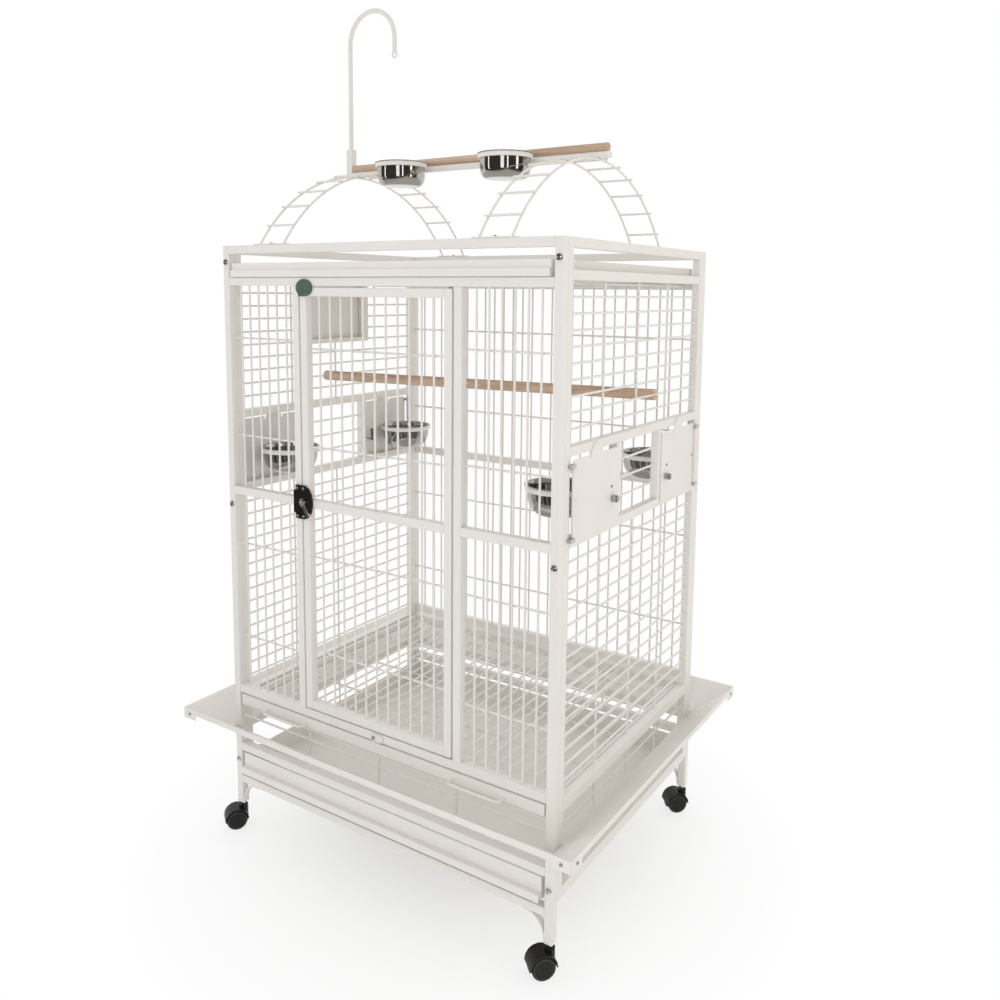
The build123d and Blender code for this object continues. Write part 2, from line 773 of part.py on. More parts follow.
def pin_with_lugs(x, y, post_y, low_lugs):
    """Upright pin held by two lugs on the outer face of a side post."""
    face = half_w + weld if x > 0 else -half_w - weld
    out = hinge_x + knuckle / 2 if x > 0 else -hinge_x - knuckle / 2
    near = y - lug_wrap if post_y > y else y + lug_wrap
    for z in low_lugs:
        block((face, out), (near, post_y), (z, z + lug_height))
    with BuildSketch(Plane.XY.offset(low_lugs[0])) as pin:
        with Locations((x, y)):
            RegularPolygon(hinge_pin / 2, rod_sides)
    extrude(pin.sketch, amount=low_lugs[1] + lug_height - low_lugs[0])


with BuildPart() as hinge_pins:
    for low in (panel_z + weld, door_high - door_pin_depth + play):
        length = door_low + door_pin_depth - play - panel_z - weld
        with BuildSketch(Plane.XY.offset(low)):
            with Locations((pin_x, -bar_y)):
                RegularPolygon(door_pin / 2, pin_sides)
        extrude(amount=length)
    for side in sides.values():
        for end in ends.values():
            pin_with_lugs(side * hinge_x, end * hinge_y, end * (side_d + lug_seat), lug_z)
    pin_with_lugs(-hinge_x, nest_pin_y, nest_post - set_in, nest_lug)
    with BuildSketch(Plane.XZ.offset(half_d + weld)):
        with Locations((0, tab_z)):
            RegularPolygon(hinge_pin / 2, rod_sides)
    extrude(amount=play + 2 * sheet + play)
    with BuildSketch(Plane.XZ.offset(half_d + 2 * play + 2 * sheet)):
        with Locations((0, tab_z)):
            RegularPolygon(hinge_pin, rod_sides)
    extrude(amount=2 * sheet)
save(hinge_pins, "hinge_pins")

# Wooden perch across the cage, notched over a bar of each side
perch_z = upper_rows[perch_row - 1]
perch_end = bar_x - wire / 2 - weld
with BuildPart() as cage_perch_piece:
    run = Vector(bar_x, perch_skew, 0)
    with BuildSketch(Plane(origin=(0, perch_shift, perch_z), x_dir=(0, 0, 1), z_dir=run)):
        Circle(cage_perch / 2)
    extrude(amount=run.length * perch_spare, both=True)
    block(
        (-perch_end - wire, perch_end + wire),
        (-half_d, half_d),
        (perch_z - cage_perch, perch_z + cage_perch),
        mode=Mode.INTERSECT,
    )
    for side in (-1, 1):
        block(
            (side * perch_end, side * half_w),
            (-half_d, half_d),
            (perch_z - wire / 2 - play, perch_z + wire / 2 + play),
            mode=Mode.SUBTRACT,
        )
save(cage_perch_piece, "cage_perch")

# Play top arches: ladders bent over the roof, on foot strips on the top rails
arch_foot = frame_top + foot_thick
arch_radius = (bar_y**2 + arch_rise**2) / (2 * arch_rise)
arch_centre = frame_top + arch_rise - arch_radius
arch_angle = degrees(acos((arch_radius - arch_rise) / arch_radius))
rung_radius = arch_radius + behind
rung_step = 2 * arch_angle / (arch_rungs - 1 + 2 * rung_end)
rung_turns = [(rung - (arch_rungs - 1) / 2) * rung_step for rung in range(arch_rungs)]


def on_arch(radius, angle):
    """Place across the arch (Y, Z) at a radius and at an angle from its top, front to back."""
    return (radius * sin(radians(angle)), arch_centre + radius * cos(radians(angle)))


def arch(middle):
    """Two rails bent at each rung and at the top, on foot strips, with rungs on their outer side."""
    turns = sorted([-arch_angle, *rung_turns, 0.0, arch_angle])
    with BuildPart() as piece:
        for side in (-1, 1):
            x = middle + side * arch_half
            with BuildLine() as rail_line:
                Polyline([(x, *on_arch(arch_radius, turn)) for turn in turns])
            foot = Plane(origin=rail_line.line @ 0, x_dir=(1, 0, 0), z_dir=rail_line.line % 0)
            with BuildSketch(foot) as rail_end:
                RegularPolygon(wire / 2, 6, major_radius=False)
            sweep(rail_end.sketch, path=rail_line.line, transition=Transition.RIGHT)
        split(bisect_by=Plane.XY.offset(arch_foot + weld), keep=Keep.TOP)
        with BuildSketch(Plane.YZ.offset(middle - arch_half - rung_over)) as rung_ends:
            for turn in rung_turns:
                with Locations(on_arch(rung_radius, turn)):
                    RegularPolygon(wire / 2, 6, major_radius=False, rotation=-turn)
        extrude(rung_ends.sketch, amount=2 * (arch_half + rung_over))
        for end in (-1, 1):
            block(
                (middle - arch_half - foot_over, middle + arch_half + foot_over),
                (end * inner_d, end * half_d),
                (frame_top + weld, arch_foot),
            )
    return piece


save(arch(-arch_x), "arch_left")
save(arch(arch_x), "arch_right")

# Beam across the arches, with the hook's socket at its left end
beam_z = frame_top + arch_rise + wire / 2 + weld
beam_top = beam_z + beam_height
socket_x = -beam_half - socket / 2
with BuildPart() as play_beam:
    block((-beam_half, beam_half), (-tube / 2, tube / 2), (beam_z, beam_top))
    block((-beam_half - socket, -beam_half), (-socket / 2, socket / 2), (beam_z, beam_z + socket_height))
    with BuildSketch(Plane.XY.offset(beam_top)):
        with Locations((socket_x, 0)):
            RegularPolygon(hook_rod / 2 + running, rod_sides, major_radius=False)
    extrude(amount=socket_height, mode=Mode.SUBTRACT)
save(play_beam, "play_beam")

# Round perch that sits on the beam by a flat along its underside
with BuildPart() as play_perch_piece:
    with BuildSketch(Plane.YZ.offset(-play_perch_half)):
        with Locations((0, beam_top + weld - perch_flat + play_perch / 2)):
            Circle(play_perch / 2)
        with Locations((0, beam_top + weld - play_perch / 2)):
            Rectangle(play_perch, play_perch, mode=Mode.SUBTRACT)
    extrude(amount=2 * play_perch_half)
save(play_perch_piece, "play_perch")

# Rings in front of the beam, and the cups that lift out of them
play_cup_y = -tube / 2 - play_cup_radius - rim - 2 * sheet
play_ring_z = beam_top - ring_height
with BuildPart() as play_cup_rings:
    for side in (-1, 1):
        ring(side * play_cup_x, play_cup_y, play_ring_z, play_cup_radius)
        block(
            (side * play_cup_x - bracket_half, side * play_cup_x + bracket_half),
            (play_cup_y + play_cup_radius + play + ring_wall - sheet, -tube / 2 - weld),
            (play_ring_z, play_ring_z + ring_height),
        )
save(play_cup_rings, "play_cup_rings")

for side_name, side in sides.items():
    with BuildPart() as play_cup:
        rim_z = play_ring_z + ring_height + play + sheet
        add(cup(side * play_cup_x, play_cup_y, rim_z, play_cup_radius, play_cup_foot, play_cup_depth))
    save(play_cup, f"play_cup_{side_name}")

# Toy hook: a rod that turns in the socket, bent over at the top, with an eye at its end
with BuildPart() as toy_hook:
    bend_z = frame_top + hook_straight
    bend = [180 - 180 * i / hook_bends for i in range(hook_bends + 1)]
    over = [(hook_radius * (1 + cos(radians(turn))), hook_radius * sin(radians(turn))) for turn in bend]
    with BuildLine(Plane.XZ) as hook_line:
        Polyline(
            (socket_x, beam_top + play),
            *[(socket_x + x, bend_z + z) for x, z in over],
            (socket_x + 2 * hook_radius, bend_z - hook_end),
        )
    with BuildSketch(Plane.XY.offset(beam_top + play)) as hook_section:
        with Locations((socket_x, 0)):
            RegularPolygon(hook_rod / 2, rod_sides)
    sweep(hook_section.sketch, path=hook_line.line, transition=Transition.RIGHT)
    with BuildSketch(Plane.XZ.offset(-wire / 2)) as eye:
        with Locations((socket_x + 2 * hook_radius, bend_z - hook_end - eye_drop)):
            RegularPolygon(eye_radius, pin_sides)
            RegularPolygon(eye_hole, pin_sides, mode=Mode.SUBTRACT)
    extrude(eye.sketch, amount=wire)
save(toy_hook, "toy_hook")

# Casters: chrome stems in the legs, turning hoods and twin wheels
wheel_in = web_half + play
wheel_out = wheel_in + wheel_width
hood_in = wheel_radius + hood_gap
hood_out = hood_in + hood_wall
caster_turns = {"front_left": 145.0, "front_right": 140.0, "back_left": 120.0, "back_right": 135.0}


def caster_hood():
    """Hood over a pair of wheels, with the axle between them; swivel axis at the origin."""
    with BuildPart() as piece:
        with BuildSketch(Plane.YZ.offset(-wheel_out)) as shell:
            with Locations((caster_trail, wheel_radius)):
                RegularPolygon(hood_out, hood_sides)
                RegularPolygon(hood_in, hood_sides, mode=Mode.SUBTRACT)
            with Locations((caster_trail, wheel_radius - hood_out)):
                Rectangle(3 * hood_out, 2 * hood_out, mode=Mode.SUBTRACT)
        extrude(shell.sketch, amount=2 * wheel_out)
        with BuildSketch(Plane.YZ.offset(-web_half)) as web:
            with Locations((caster_trail, wheel_radius)):
                RegularPolygon(hood_out - play, hood_sides)
            with Locations((caster_trail, 0)):
                Rectangle(3 * hood_out, wheel_radius, mode=Mode.SUBTRACT)
        extrude(web.sketch, amount=2 * web_half)
        with BuildSketch(Plane.XY.offset(wheel_radius)) as neck:
            RegularPolygon(stem, rod_sides)
        extrude(neck.sketch, amount=hood_top - wheel_radius)
        with BuildSketch(Plane.YZ.offset(-wheel_out)) as axle_end:
            with Locations((caster_trail, wheel_radius)):
                RegularPolygon(axle / 2, rod_sides)
        extrude(axle_end.sketch, amount=2 * wheel_out)
        for side in (-1, 1):
            with BuildSketch(Plane.YZ.offset(side * wheel_in - (wheel_width if side < 0 else 0))) as room:
                with Locations((caster_trail, wheel_radius)):
                    RegularPolygon(hood_in, hood_sides)
                    RegularPolygon(axle / 2, rod_sides, mode=Mode.SUBTRACT)
            extrude(room.sketch, amount=wheel_width, mode=Mode.SUBTRACT)
    return piece.part


def caster_wheels():
    """Two wheels on one axle, with a flat of their rim on the floor."""
    with BuildPart() as piece:
        for start in (-wheel_out + play, wheel_in + play):
            with BuildSketch(Plane.YZ.offset(start)) as disc:
                with Locations((caster_trail, wheel_radius)):
                    RegularPolygon(wheel_radius, round_sides, major_radius=False, rotation=180 / round_sides)
                    RegularPolygon(axle / 2 + running, rod_sides, major_radius=False, mode=Mode.SUBTRACT)
            extrude(disc.sketch, amount=wheel_width - 2 * play)
    return piece.part


hood = caster_hood()
wheels = caster_wheels()
for corner, turn in caster_turns.items():
    x = bar_x if "right" in corner else -bar_x
    y = bar_y if "back" in corner else -bar_y
    place = Location((x, y, 0), (0, 0, turn))
    with BuildPart() as caster_piece:
        add(hood.moved(place))
    save(caster_piece, f"caster_hood_{corner}")
    with BuildPart() as wheel_piece:
        add(wheels.moved(place))
    save(wheel_piece, f"caster_wheels_{corner}")

with BuildPart() as caster_stems:
    with BuildSketch(Plane.XY.offset(hood_top + play)):
        with GridLocations(2 * bar_x, 2 * bar_y, 2, 2):
            RegularPolygon(stem / 2, rod_sides)
    extrude(amount=leg_foot - weld - hood_top - play)
save(caster_stems, "caster_stems")
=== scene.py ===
from math import acos, cos, pi, radians, sin

import bmesh
import bpy
from mathutils import Matrix, Vector


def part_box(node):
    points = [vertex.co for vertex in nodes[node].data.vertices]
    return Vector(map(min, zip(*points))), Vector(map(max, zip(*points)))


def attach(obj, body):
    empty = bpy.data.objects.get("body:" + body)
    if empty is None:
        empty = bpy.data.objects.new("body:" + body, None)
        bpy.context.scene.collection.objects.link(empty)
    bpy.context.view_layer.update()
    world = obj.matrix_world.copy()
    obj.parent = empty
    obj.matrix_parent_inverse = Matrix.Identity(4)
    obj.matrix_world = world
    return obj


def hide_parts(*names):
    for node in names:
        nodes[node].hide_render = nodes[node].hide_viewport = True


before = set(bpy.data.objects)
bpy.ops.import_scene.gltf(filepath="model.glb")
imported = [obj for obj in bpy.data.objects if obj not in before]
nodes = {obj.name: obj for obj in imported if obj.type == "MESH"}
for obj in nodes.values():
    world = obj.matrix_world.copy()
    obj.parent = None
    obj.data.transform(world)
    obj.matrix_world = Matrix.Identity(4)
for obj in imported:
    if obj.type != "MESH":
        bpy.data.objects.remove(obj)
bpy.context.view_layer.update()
scene = bpy.context.scene
scene.view_settings.view_transform = "Standard"

# Sizes shared with the solids, in metres
MM = 0.001
HALF_W, HALF_D = 457 * MM, 355.5 * MM
FRAME_TOP = 1449 * MM
TUBE, WIRE = 19 * MM, 5 * MM
BAR_X, BAR_Y = HALF_W - TUBE / 2, HALF_D - TUBE / 2
ARCH_X, ARCH_HALF, ARCH_RISE = 302.5 * MM, 37.5 * MM, 185.5 * MM
SKIRT_REACH, SKIRT_TOP = 86 * MM, 326 * MM
SKIRT_X, SKIRT_Y = HALF_W + SKIRT_REACH, HALF_D + SKIRT_REACH
SIDES = {"left": -1, "right": 1}
ENDS = {"front": -1, "back": 1}

# Rounding of edges, in metres
TUBE_EDGE, TUBE_SHORTEST = 1.6 * MM, 3.5 * MM
SHEET_EDGE = 0.4 * MM
GRATE_EDGE = 1.2 * MM
PERCH_EDGE = 1.0 * MM
BADGE_EDGE = 0.9 * MM
LATCH_EDGE, LATCH_SHORTEST = 2.4 * MM, 3 * MM
LEVER_EDGE = 2.2 * MM
HOOD_EDGE = 1.2 * MM


# Materials


def principled(name, rough, metal=0.0):
    """New material; returns it with its shader, a node maker and a linker."""
    mat = bpy.data.materials.new(name)
    mat.use_nodes = True
    tree = mat.node_tree
    shader = tree.nodes["Principled BSDF"]
    shader.inputs["Metallic"].default_value = metal
    shader.inputs["Roughness"].default_value = rough
    return mat, shader, tree.nodes.new, tree.links.new


def place(new, link, scale=(1, 1, 1), turn=0.0):
    """Object coordinates, scaled and then turned round Z."""
    coords = new("ShaderNodeTexCoord")
    mapping = new("ShaderNodeMapping")
    mapping.inputs["Scale"].default_value = scale
    mapping.inputs["Rotation"].default_value = (0, 0, turn)
    link(coords.outputs["Object"], mapping.inputs["Vector"])
    return mapping.outputs["Vector"]


def noise(new, link, space, scale, detail=3.0, rough=0.55):
    """Noise texture over a vector output."""
    node = new("ShaderNodeTexNoise")
    node.inputs["Scale"].default_value = scale
    node.inputs["Detail"].default_value = detail
    node.inputs["Roughness"].default_value = rough
    link(space, node.inputs["Vector"])
    return node.outputs["Fac"]


def ramp(new, link, value, stops):
    """Colour ramp over a value; stops are (position, colour)."""
    node = new("ShaderNodeValToRGB")
    link(value, node.inputs["Fac"])
    band = node.color_ramp
    while len(band.elements) < len(stops):
        band.elements.new(0.5)
    for element, (position, colour) in zip(band.elements, stops):
        element.position = position
        element.color = (*colour, 1.0)
    return node.outputs["Color"]


def span(new, link, value, low, high, start=0.0, end=1.0, interpolation="LINEAR"):
    """Map a value between start and end to the range from low to high."""
    node = new("ShaderNodeMapRange")
    node.interpolation_type = interpolation
    node.inputs["From Min"].default_value = start
    node.inputs["From Max"].default_value = end
    node.inputs["To Min"].default_value = low
    node.inputs["To Max"].default_value = high
    link(value, node.inputs["Value"])
    return node.outputs["Result"]


def bump(new, link, shader, height, strength, distance):
    """Bump from a height into the shader's normal."""
    node = new("ShaderNodeBump")
    node.inputs["Strength"].default_value = strength
    node.inputs["Distance"].default_value = distance
    link(height, node.inputs["Height"])
    link(node.outputs["Normal"], shader.inputs["Normal"])


def powder_coat(name, pale, shade):
    """Satin powder coat: faint mottling and a fine orange peel."""
    mat, shader, new, link = principled(name, rough=0.4)
    space = place(new, link)
    mottling = noise(new, link, space, scale=7.0, detail=4.0)
    handling = noise(new, link, space, scale=60.0)
    peel = noise(new, link, space, scale=700.0, detail=2.0)
    link(ramp(new, link, mottling, ((0.3, shade), (0.7, pale))), shader.inputs["Base Color"])
    link(span(new, link, handling, low=0.34, high=0.48), shader.inputs["Roughness"])
    bump(new, link, shader, peel, strength=0.04, distance=0.2 * MM)
    shader.inputs["Coat Weight"].default_value = 0.08
    shader.inputs["Coat Roughness"].default_value = 0.25
    return mat


def polished(name, colour, rough, streak=(1, 1, 1)):
    """Bright metal with faint smudges and fine streaks."""
    mat, shader, new, link = principled(name, rough, metal=1.0)
    space = place(new, link, streak)
    dull = tuple(0.86 * c for c in colour)
    smudges = noise(new, link, space, scale=30.0)
    wear = noise(new, link, space, scale=90.0, detail=4.0)
    streaks = noise(new, link, space, scale=500.0, detail=2.0)
    link(ramp(new, link, smudges, ((0.3, dull), (0.7, colour))), shader.inputs["Base Color"])
    link(span(new, link, wear, low=0.7 * rough, high=1.5 * rough), shader.inputs["Roughness"])
    bump(new, link, shader, streaks, strength=0.03, distance=0.2 * MM)
    return mat


def plastic(name, colour, rough, gloss=0.3):
    """Moulded plastic with a fine grain and slight wear."""
    mat, shader, new, link = principled(name, rough)
    space = place(new, link)
    worn = tuple(min(1.0, 1.5 * c + 0.002) for c in colour)
    wear = noise(new, link, space, scale=120.0, detail=5.0)
    handling = noise(new, link, space, scale=300.0)
    grain = noise(new, link, space, scale=1500.0, detail=2.0)
    link(ramp(new, link, wear, ((0.45, colour), (0.75, worn))), shader.inputs["Base Color"])
    link(span(new, link, handling, low=0.85 * rough, high=1.2 * rough), shader.inputs["Roughness"])
    bump(new, link, shader, grain, strength=0.15, distance=0.2 * MM)
    shader.inputs["Specular IOR Level"].default_value = gloss
    return mat


def sanded_wood(name, turn):
    """Pale dowel: grain streaks along X, darker lines and fine pores; the turn varies the pattern."""
    mat, shader, new, link = principled(name, rough=0.55)
    grain = place(new, link, (3.0, 90.0, 90.0), turn)
    fine = place(new, link, (14.0, 600.0, 600.0), turn)
    streaks = noise(new, link, grain, scale=1.0, detail=6.0, rough=0.6)
    pores = noise(new, link, fine, scale=1.0)
    tones = (
        (0.25, (0.43, 0.28, 0.18)),
        (0.45, (0.61, 0.43, 0.30)),
        (0.62, (0.71, 0.53, 0.40)),
        (0.80, (0.77, 0.61, 0.49)),
    )
    depths = ((0.35, (0.55, 0.50, 0.45)), (0.55, (1.0, 1.0, 1.0)))
    mix = new("ShaderNodeMix")
    mix.data_type = "RGBA"
    mix.blend_type = "MULTIPLY"
    mix.inputs["Factor"].default_value = 0.35
    link(ramp(new, link, streaks, tones), mix.inputs["A"])
    link(ramp(new, link, pores, depths), mix.inputs["B"])
    link(mix.outputs["Result"], shader.inputs["Base Color"])
    link(span(new, link, pores, low=0.5, high=0.68), shader.inputs["Roughness"])
    bump(new, link, shader, pores, strength=0.2, distance=0.4 * MM)
    return mat


coat = powder_coat("powder_coat", pale=(0.880, 0.852, 0.812), shade=(0.858, 0.830, 0.790))
chrome = polished("chrome", (0.80, 0.80, 0.81), rough=0.12)
# Chrome made darker for the feeder knobs: painted shade, standing in for the shade and dark reflections that
# the knobs show
shaded_chrome = polished("shaded_chrome", (0.50, 0.49, 0.47), rough=0.10)
zinc = polished("zinc", (0.62, 0.62, 0.61), rough=0.3, streak=(1, 1, 6))
stainless = polished("stainless", (0.47, 0.46, 0.44), rough=0.05, streak=(1, 1, 9))
black = plastic("black_plastic", (0.008, 0.008, 0.007), rough=0.42)
latch_black = plastic("latch_black", (0.008, 0.008, 0.007), rough=0.17, gloss=0.5)
tyre = plastic("wheel_plastic", (0.007, 0.007, 0.006), rough=0.5)
ring_grey = plastic("ring_grey", (0.10, 0.10, 0.098), rough=0.5)
badge_green = plastic("badge_green", (0.070, 0.110, 0.085), rough=0.28)
play_wood = sanded_wood("play_wood", turn=0.0)
cage_wood = sanded_wood("cage_wood", turn=-0.1267)


# Mesh helpers


def piece(name, form, mats, body, replaced=(), sharp=32, origin=(0, 0, 0)):
    """Turn a bmesh into a smooth-shaded piece that rides on a body."""
    mesh = bpy.data.meshes.new(name)
    form.to_mesh(mesh)
    form.free()
    for mat in mats:
        mesh.materials.append(mat)
    mesh.polygons.foreach_set("use_smooth", [True] * len(mesh.polygons))
    mesh.set_sharp_from_angle(angle=radians(sharp))
    obj = bpy.data.objects.new(name, mesh)
    obj.location = origin
    scene.collection.objects.link(obj)
    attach(obj, body)
    if replaced:
        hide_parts(*replaced)
    return obj


def turned_piece(name, form, *rest, **options):
    """A piece of turned forms, with all faces looking outwards."""
    bmesh.ops.recalc_face_normals(form, faces=form.faces)
    return piece(name, form, *rest, **options)


def even_shading(obj):
    """Keep flat faces flat beside their rounded edges."""
    obj.modifiers.new("normals", "WEIGHTED_NORMAL").keep_sharp = True


def welded(node):
    """Copy of a solid's mesh with its corners joined and its flat faces whole."""
    form = bmesh.new()
    form.from_mesh(nodes[node].data)
    bmesh.ops.remove_doubles(form, verts=form.verts, dist=1e-6)
    bmesh.ops.dissolve_limit(form, angle_limit=radians(1), verts=form.verts, edges=form.edges)
    return form


def round_off(form, edges, width, segments):
    """Round some edges of a bmesh."""
    bmesh.ops.bevel(
        form, geom=edges, offset=width, segments=segments, profile=0.5, affect="EDGES", clamp_overlap=True
    )


def softened(name, node, mat, body, width, segments=2, sharp=50, shortest=0.0):
    """A solid with its sharp edges rounded, apart from the shortest ones, in place of the solid."""
    form = welded(node)
    paired = [edge for edge in form.edges if len(edge.link_faces) == 2]
    corners = [edge for edge in paired if edge.calc_face_angle(0) > radians(sharp)]
    round_off(form, [edge for edge in corners if edge.calc_length() > shortest], width, segments)
    obj = piece(name, form, [mat], body, (node,))
    even_shading(obj)
    return obj


def islands(node):
    """Lowest and highest corner of each loose piece of a solid's mesh."""
    form = welded(node)
    left = set(form.verts)
    boxes = []
    while left:
        reached = [left.pop()]
        low, high = reached[0].co.copy(), reached[0].co.copy()
        while reached:
            vert = reached.pop()
            low = Vector(map(min, low, vert.co))
            high = Vector(map(max, high, vert.co))
            for edge in vert.link_edges:
                other = edge.other_vert(vert)
                if other in left:
                    left.remove(other)
                    reached.append(other)
        boxes.append((low, high))
    form.free()
    return sorted(boxes, key=lambda box: tuple(box[0]))


def arc(centre, across, up, start, end, steps):
    """Points round a centre, from angle zero at across by way of up, both of them radii."""
    turns = [start + (end - start) * i / steps for i in range(steps + 1)]
    return [centre + cos(turn) * across + sin(turn) * up for turn in turns]


def add_tube(form, points, radius, sides=12, closed_ends=True):
    """Round tube along a line of points, added to a bmesh."""
    rings = []
    along = (points[1] - points[0]).normalized()
    side = along.orthogonal().normalized()
    for i, point in enumerate(points):
        before = (point - points[i - 1]).normalized() if i else None
        after = (points[i + 1] - point).normalized() if i + 1 < len(points) else None
        run = ((before or after) + (after or before)).normalized()
        side = (side - run * side.dot(run)).normalized()
        other = run.cross(side)
        ring = []
        for k in range(sides):
            turn = 2 * pi * k / sides
            ring.append(form.verts.new(point + radius * (cos(turn) * side + sin(turn) * other)))
        rings.append(ring)
    for a, b in zip(rings, rings[1:]):
        for k in range(sides):
            form.faces.new((a[k], a[(k + 1) % sides], b[(k + 1) % sides], b[k]))
    if closed_ends:
        form.faces.new(list(reversed(rings[0])))
        form.faces.new(rings[-1])


def add_lathe(form, profile, segments, seat=Matrix.Identity(4)):
    """Revolve (radius, height) points round Z, moved by a matrix; the ends may lie on the axis."""
    rings = []
    for radius, height in profile:
        if radius < 1e-9:
            rings.append([form.verts.new(seat @ Vector((0, 0, height)))])
        else:
            ring = []
            for k in range(segments):
                turn = 2 * pi * k / segments
                spot = Vector((radius * cos(turn), radius * sin(turn), height))
                ring.append(form.verts.new(seat @ spot))
            rings.append(ring)
    for a, b in zip(rings, rings[1:]):
        for k in range(segments):
            n = (k + 1) % segments
            loop = [a[k % len(a)], a[n % len(a)], b[n % len(b)], b[k % len(b)]]
            corners = list(dict.fromkeys(loop))
            if len(corners) > 2:
                form.faces.new(corners)


def add_block(form, low, high):
    """Plain block between two corners, added to a bmesh; returns its edges."""
    verts = bmesh.ops.create_cube(form, size=1.0)["verts"]
    for vert in verts:
        vert.co = (low + high) / 2 + Vector([c * s for c, s in zip(vert.co, high - low)])
    return list(dict.fromkeys(edge for vert in verts for edge in vert.link_edges))


def scaled(profile, unit):
    """A profile's points times a unit."""
    return [(radius * unit, height * unit) for radius, height in profile]


# Frames, rails and sheet metal keep their solids' shape, with rounded edges

for node, body in (
    ("front_frame", "cage"),
    ("back_frame", "cage"),
    ("left_frame", "cage"),
    ("right_frame", "cage"),
    ("door_frame", "main_door"),
    ("play_beam", "cage"),
):
    softened("round_" + node, node, coat, body, TUBE_EDGE, segments=3, shortest=TUBE_SHORTEST)
for node in (
    "skirt_front",
    "skirt_right",
    "skirt_back",
    "skirt_left",
    "tray_runners",
    "leg_braces",
    "play_cup_rings",
):
    softened("edged_" + node, node, coat, "cage", SHEET_EDGE)
for node in ("bottom_tray", "top_tray", "nest_door", "lock_tab"):
    softened("edged_" + node, node, coat, node, SHEET_EDGE)
softened("edged_hinge_pins", "hinge_pins", zinc, "cage", SHEET_EDGE)
softened("edged_caster_stems", "caster_stems", chrome, "cage", SHEET_EDGE)
softened(
    "edged_latch_plate",
    "latch_plate",
    latch_black,
    "main_door",
    LATCH_EDGE,
    segments=4,
    shortest=LATCH_SHORTEST,
)
softened("edged_latch_lever", "latch_lever", chrome, "latch_lever", LEVER_EDGE, segments=4)
for side in SIDES:
    for end in ENDS:
        node = f"feeder_door_{side}_{end}"
        softened("edged_" + node, node, coat, node, SHEET_EDGE)

# Bars, supports and guards: round wires in place of six-sided ones, a little thinner, as in the photograph

WIRE_SHOWN = 0.97 * WIRE
for node, body in (
    ("front_bars", "cage"),
    ("back_bars", "cage"),
    ("left_bars", "cage"),
    ("right_bars", "cage"),
    ("guard_wires", "cage"),
    ("roof_bars", "cage"),
    ("door_bars", "main_door"),
    ("grate_bars", "grate"),
):
    form = bmesh.new()
    for low, high in islands(node):
        axis = max(range(3), key=lambda i: high[i] - low[i])
        first, last = (low + high) / 2, (low + high) / 2
        first[axis], last[axis] = low[axis], high[axis]
        add_tube(form, [first, last], WIRE_SHOWN / 2)
    piece("wires_" + node, form, [coat], body, (node,))

# Grate frame with its bent handles, the only shallow and low pieces in it

HANDLE_DEPTH, HANDLE_HEIGHT = 26 * MM, 7 * MM
HANDLE_BEND = 11 * MM
HANDLE_END_INSET, HANDLE_FRONT_INSET = 2.9 * MM, 1.15 * WIRE / 2
form = bmesh.new()
for low, high in islands("grate_frame"):
    if high.y - low.y < HANDLE_DEPTH and high.z - low.z < HANDLE_HEIGHT:
        start_x, end_x = low.x + HANDLE_END_INSET, high.x - HANDLE_END_INSET
        bend_y = low.y + HANDLE_FRONT_INSET + HANDLE_BEND
        z = (low.z + high.z) / 2
        across, front = Vector((HANDLE_BEND, 0, 0)), Vector((0, -HANDLE_BEND, 0))
        line = [Vector((start_x, high.y, z))]
        line += arc(Vector((start_x + HANDLE_BEND, bend_y, z)), -across, front, 0, pi / 2, steps=6)
        line += arc(Vector((end_x - HANDLE_BEND, bend_y, z)), across, front, pi / 2, 0, steps=6)
        line.append(Vector((end_x, high.y, z)))
        add_tube(form, line, WIRE / 2)
    else:
        round_off(form, add_block(form, low, high), GRATE_EDGE, segments=2)
even_shading(piece("grate_frame_round", form, [coat], "grate", ("grate_frame",)))

# Play top arches: smooth rails, round rungs, which are slim in Y, and foot plates, which are thin

RUNG_DEPTH, FOOT_HEIGHT = 8 * MM, 4 * MM
RAIL_SHARE = 0.992
arch_radius = (BAR_Y**2 + ARCH_RISE**2) / (2 * ARCH_RISE)
arch_centre = FRAME_TOP + ARCH_RISE - arch_radius
rail_angle = RAIL_SHARE * acos((arch_radius - ARCH_RISE) / arch_radius)
for side, sign in SIDES.items():
    form = bmesh.new()
    for rail in (-1, 1):
        centre = Vector((sign * ARCH_X + rail * ARCH_HALF, 0, arch_centre))
        top, back = Vector((0, 0, arch_radius)), Vector((0, arch_radius, 0))
        add_tube(form, arc(centre, top, back, -rail_angle, rail_angle, steps=48), WIRE / 2)
    for low, high in islands(f"arch_{side}"):
        middle, size = (low + high) / 2, high - low
        if size.y < RUNG_DEPTH:
            add_tube(form, [Vector((x, *middle.yz)) for x in (low.x, high.x)], WIRE / 2)
        elif size.z < FOOT_HEIGHT:
            add_block(form, low, high)
    piece(f"arch_{side}_round", form, [coat], "cage", (f"arch_{side}",))

# Toy hook: a round rod with a smooth bend and a small eye

HOOK_X, HOOK_FOOT, HOOK_STEM = -376 * MM, 1649.55 * MM, 1760 * MM
HOOK_BEND, HOOK_BEND_Z, HOOK_DROP = 73 * MM, 1968 * MM, 37 * MM
HOOK_ROD = 5.8 * MM
EYE_RADIUS, EYE_SINK, EYE_WIRE = 7 * MM, 4 * MM, 2.2 * MM
bend = Vector((HOOK_X + HOOK_BEND, 0, HOOK_BEND_Z))
tip = Vector((HOOK_X + 2 * HOOK_BEND, 0, HOOK_BEND_Z - HOOK_DROP))
across, up = Vector((1, 0, 0)), Vector((0, 0, 1))
form = bmesh.new()
line = [Vector((HOOK_X, 0, HOOK_FOOT)), Vector((HOOK_X, 0, HOOK_STEM))]
line += arc(bend, HOOK_BEND * across, HOOK_BEND * up, pi, 0, steps=40)
line.append(tip)
add_tube(form, line, HOOK_ROD, sides=20)
